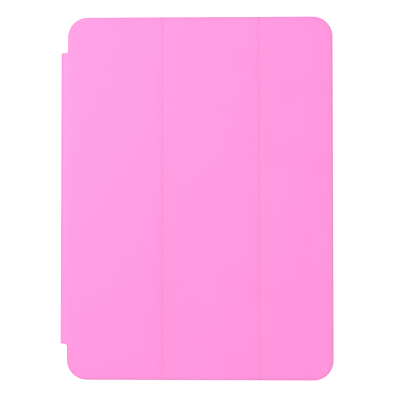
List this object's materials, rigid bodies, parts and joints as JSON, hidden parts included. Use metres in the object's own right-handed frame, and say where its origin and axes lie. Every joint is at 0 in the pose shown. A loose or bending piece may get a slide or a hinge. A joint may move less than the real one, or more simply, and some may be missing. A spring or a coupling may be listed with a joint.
{
  "type": "folding tablet case",
  "caption": "Folding leather case for an 11-inch-class tablet: moulded tray, soft spine and a front cover in stiffened panels that folds to a stand.",
  "frame": {"origin": "under the middle of the whole closed case, on the back leather's outer face", "axes": "+Z from the back towards the front cover, +Y towards the tablet's top edge, -X towards the spine"},
  "size_m": [0.189, 0.252, 0.0121],
  "materials": {
    "leather": "smooth matt coated leather",
    "lining": "brushed microfibre",
    "moulding": "matt soft-touch moulding",
    "board": "pressed fibre board",
    "magnet": "nickel plated",
    "steel": "rolled sheet"
  },
  "bodies": {
    "case_back": {"tray": "moulding", "tray_plate": "moulding", "tray_lining": "lining", "back_leather": "leather"},
    "spine": {"spine_leather": "leather", "spine_board": "board", "spine_lining": "lining", "rear_hinge_leather": "leather", "rear_hinge_lining": "lining"},
    "inner_panel": {"inner_leather": "leather", "inner_board": "board", "inner_lining": "lining", "catch_plate": "steel", "front_hinge_leather": "leather", "front_hinge_lining": "lining", "fold_1_leather": "leather", "fold_1_lining": "lining"},
    "middle_panel": {"middle_leather": "leather", "middle_board": "board", "middle_lining": "lining", "fold_2_leather": "leather", "fold_2_lining": "lining"},
    "outer_panel": {"outer_leather": "leather", "outer_board": "board", "outer_lining": "lining", "closing_magnets": "magnet", "wake_magnet": "magnet"},
    "top_key": {"top_button": "moulding"},
    "volume_up_key": {"volume_up_button": "moulding"},
    "volume_down_key": {"volume_down_button": "moulding"}
  },
  "joints": [
    {"name": "spine_hinge", "type": "hinge", "parent": "case_back", "child": "spine", "pos_m": [-0.0938, 0, 0.00075], "axis": [0, -1, 0], "range_deg": [0, 178], "deforming": ["rear_hinge_leather", "rear_hinge_lining"]},
    {"name": "cover_hinge", "type": "hinge", "parent": "spine", "child": "inner_panel", "pos_m": [-0.09405, 0, 0.01155], "axis": [0, -1, 0], "range_deg": [0, 90], "deforming": ["front_hinge_leather", "front_hinge_lining"]},
    {"name": "first_fold", "type": "hinge", "parent": "inner_panel", "child": "middle_panel", "pos_m": [-0.02265, 0, 0.01155], "axis": [0, -1, 0], "range_deg": [0, 135], "deforming": ["fold_1_leather", "fold_1_lining"]},
    {"name": "second_fold", "type": "hinge", "parent": "middle_panel", "child": "outer_panel", "pos_m": [0.04415, 0, 0.01155], "axis": [0, -1, 0], "range_deg": [0, 111], "deforming": ["fold_2_leather", "fold_2_lining"]},
    {"name": "top_press", "type": "slide", "parent": "case_back", "child": "top_key", "axis": [0, -1, 0], "range_m": [0, 0.0004], "stiffness_N_per_m": 800},
    {"name": "volume_up_press", "type": "slide", "parent": "case_back", "child": "volume_up_key", "axis": [-1, 0, 0], "range_m": [0, 0.0004], "stiffness_N_per_m": 800},
    {"name": "volume_down_press", "type": "slide", "parent": "case_back", "child": "volume_down_key", "axis": [-1, 0, 0], "range_m": [0, 0.0004], "stiffness_N_per_m": 800}
  ]
}
